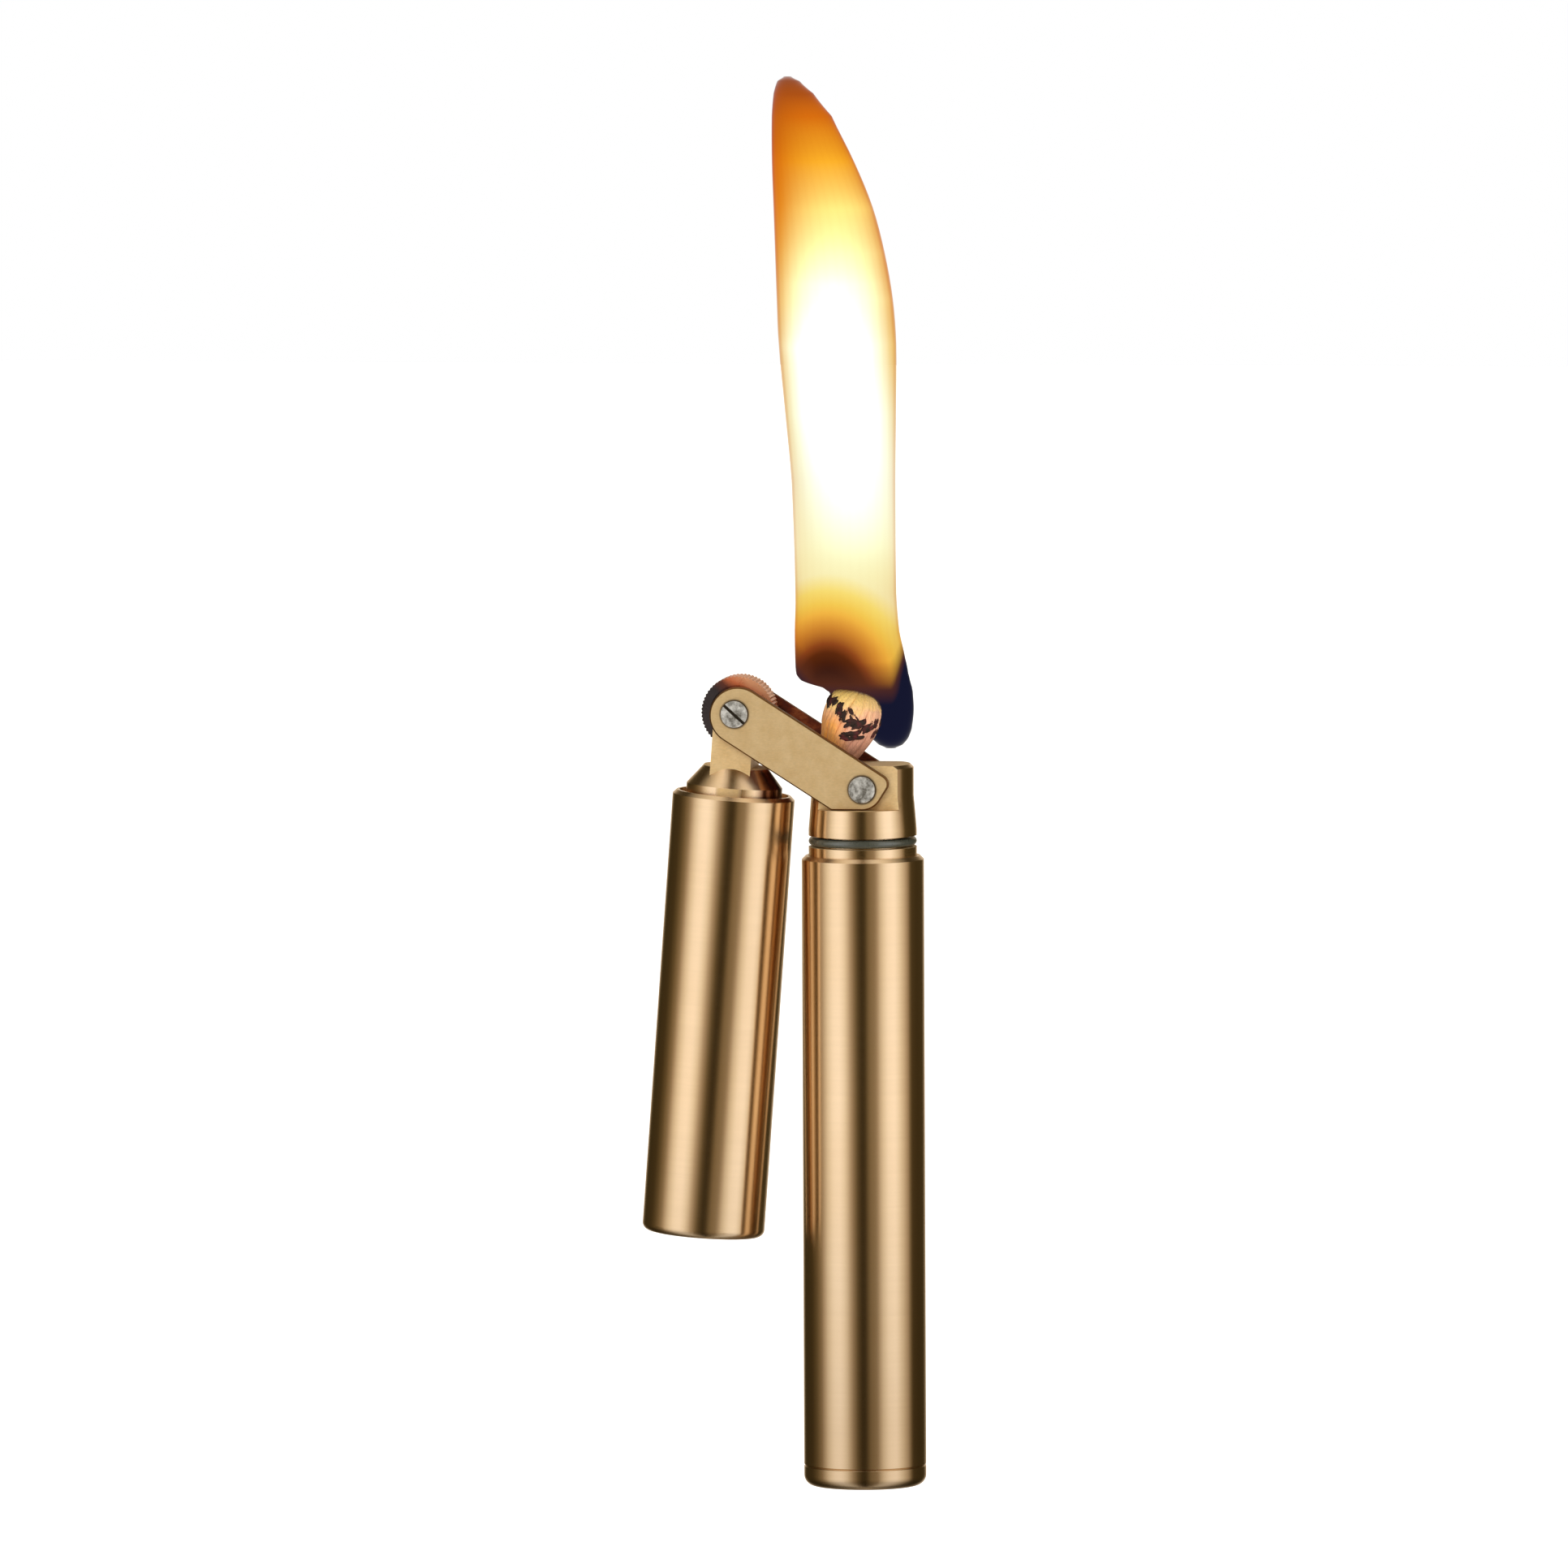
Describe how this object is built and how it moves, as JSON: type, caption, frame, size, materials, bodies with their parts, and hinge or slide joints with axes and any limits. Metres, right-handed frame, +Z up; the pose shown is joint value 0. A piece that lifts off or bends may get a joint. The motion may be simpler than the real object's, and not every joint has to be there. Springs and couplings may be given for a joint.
{
  "type": "flint wheel petrol lighter",
  "caption": "Slim folding petrol lighter: a brass fuel tube with a wick, and a flint-wheel arm with a long cap tube, hinged down beside it on two flat link plates.",
  "frame": {"origin": "centre of the base plug's flat bottom face, on the body tube's axis", "axes": "+Z up the body tube's axis towards the wick; both hinge axes along Y; the open cap hangs on the -X side"},
  "size_m": [0.0302, 0.013, 0.0863],
  "materials": {
    "turned_brass": "satin, finely turned",
    "milled_brass": "satin, milled",
    "plate_brass": "matt, brushed flat",
    "pin_steel": "satin",
    "spring_steel": "drawn wire",
    "wheel_steel": "hardened, dark, serrated",
    "flint_metal": "rough grey",
    "ring_rubber": "smooth, slightly shiny",
    "wick_braid": "braided, burnt and frayed at the top",
    "cotton": "loose cotton",
    "felt": "pressed felt"
  },
  "bodies": {
    "body": {"body_tube": "turned_brass", "burner_head": "turned_brass", "closing_oring": "ring_rubber", "head_pin": "pin_steel", "wick": "wick_braid", "fuel_wadding": "cotton", "felt_pad": "felt"},
    "base_seal": {"base_oring": "ring_rubber"},
    "base": {"base_plug": "turned_brass"},
    "link": {"front_link_plate": "plate_brass", "rear_link_plate": "plate_brass", "axle_screw": "pin_steel", "axle_barrel": "pin_steel"},
    "wheel": {"striker_wheel": "wheel_steel"},
    "neck": {"hinge_neck": "milled_brass", "neck_orings": "ring_rubber", "flint": "flint_metal", "flint_pusher": "milled_brass", "flint_spring": "spring_steel", "flint_screw": "pin_steel"},
    "cap": {"cap_tube": "turned_brass"}
  },
  "joints": [
    {"name": "link_hinge", "type": "hinge", "parent": "body", "child": "link", "pos_m": [0.0005, 0, 0.0745], "axis": [0, 1, 0], "range_deg": [0, 57.9]},
    {"name": "cap_hinge", "type": "hinge", "parent": "link", "child": "neck", "pos_m": [-0.01311, 0, 0.08245], "axis": [0, 1, 0], "range_deg": [-4.2, 117.8]},
    {"name": "wheel_spin", "type": "hinge", "parent": "link", "child": "wheel", "pos_m": [-0.01311, 0, 0.08245], "axis": [0, 1, 0], "continuous": true},
    {"name": "cap_slide", "type": "slide", "parent": "neck", "child": "cap", "axis": [-0.075, 0, -0.9972], "range_m": [0, 0.0115]},
    {"name": "base_travel", "type": "slide", "parent": "body", "child": "base_seal", "axis": [0, 0, -1], "range_m": [0, 0.004]},
    {"name": "base_turn", "type": "hinge", "parent": "base_seal", "child": "base", "pos_m": [0, 0, 0], "axis": [0, 0, -1], "range_deg": [0, 1440]}
  ],
  "couplings": [
    {"joint": "base_travel", "follows": "base_turn", "m_per_rad": 0.00015915}
  ]
}
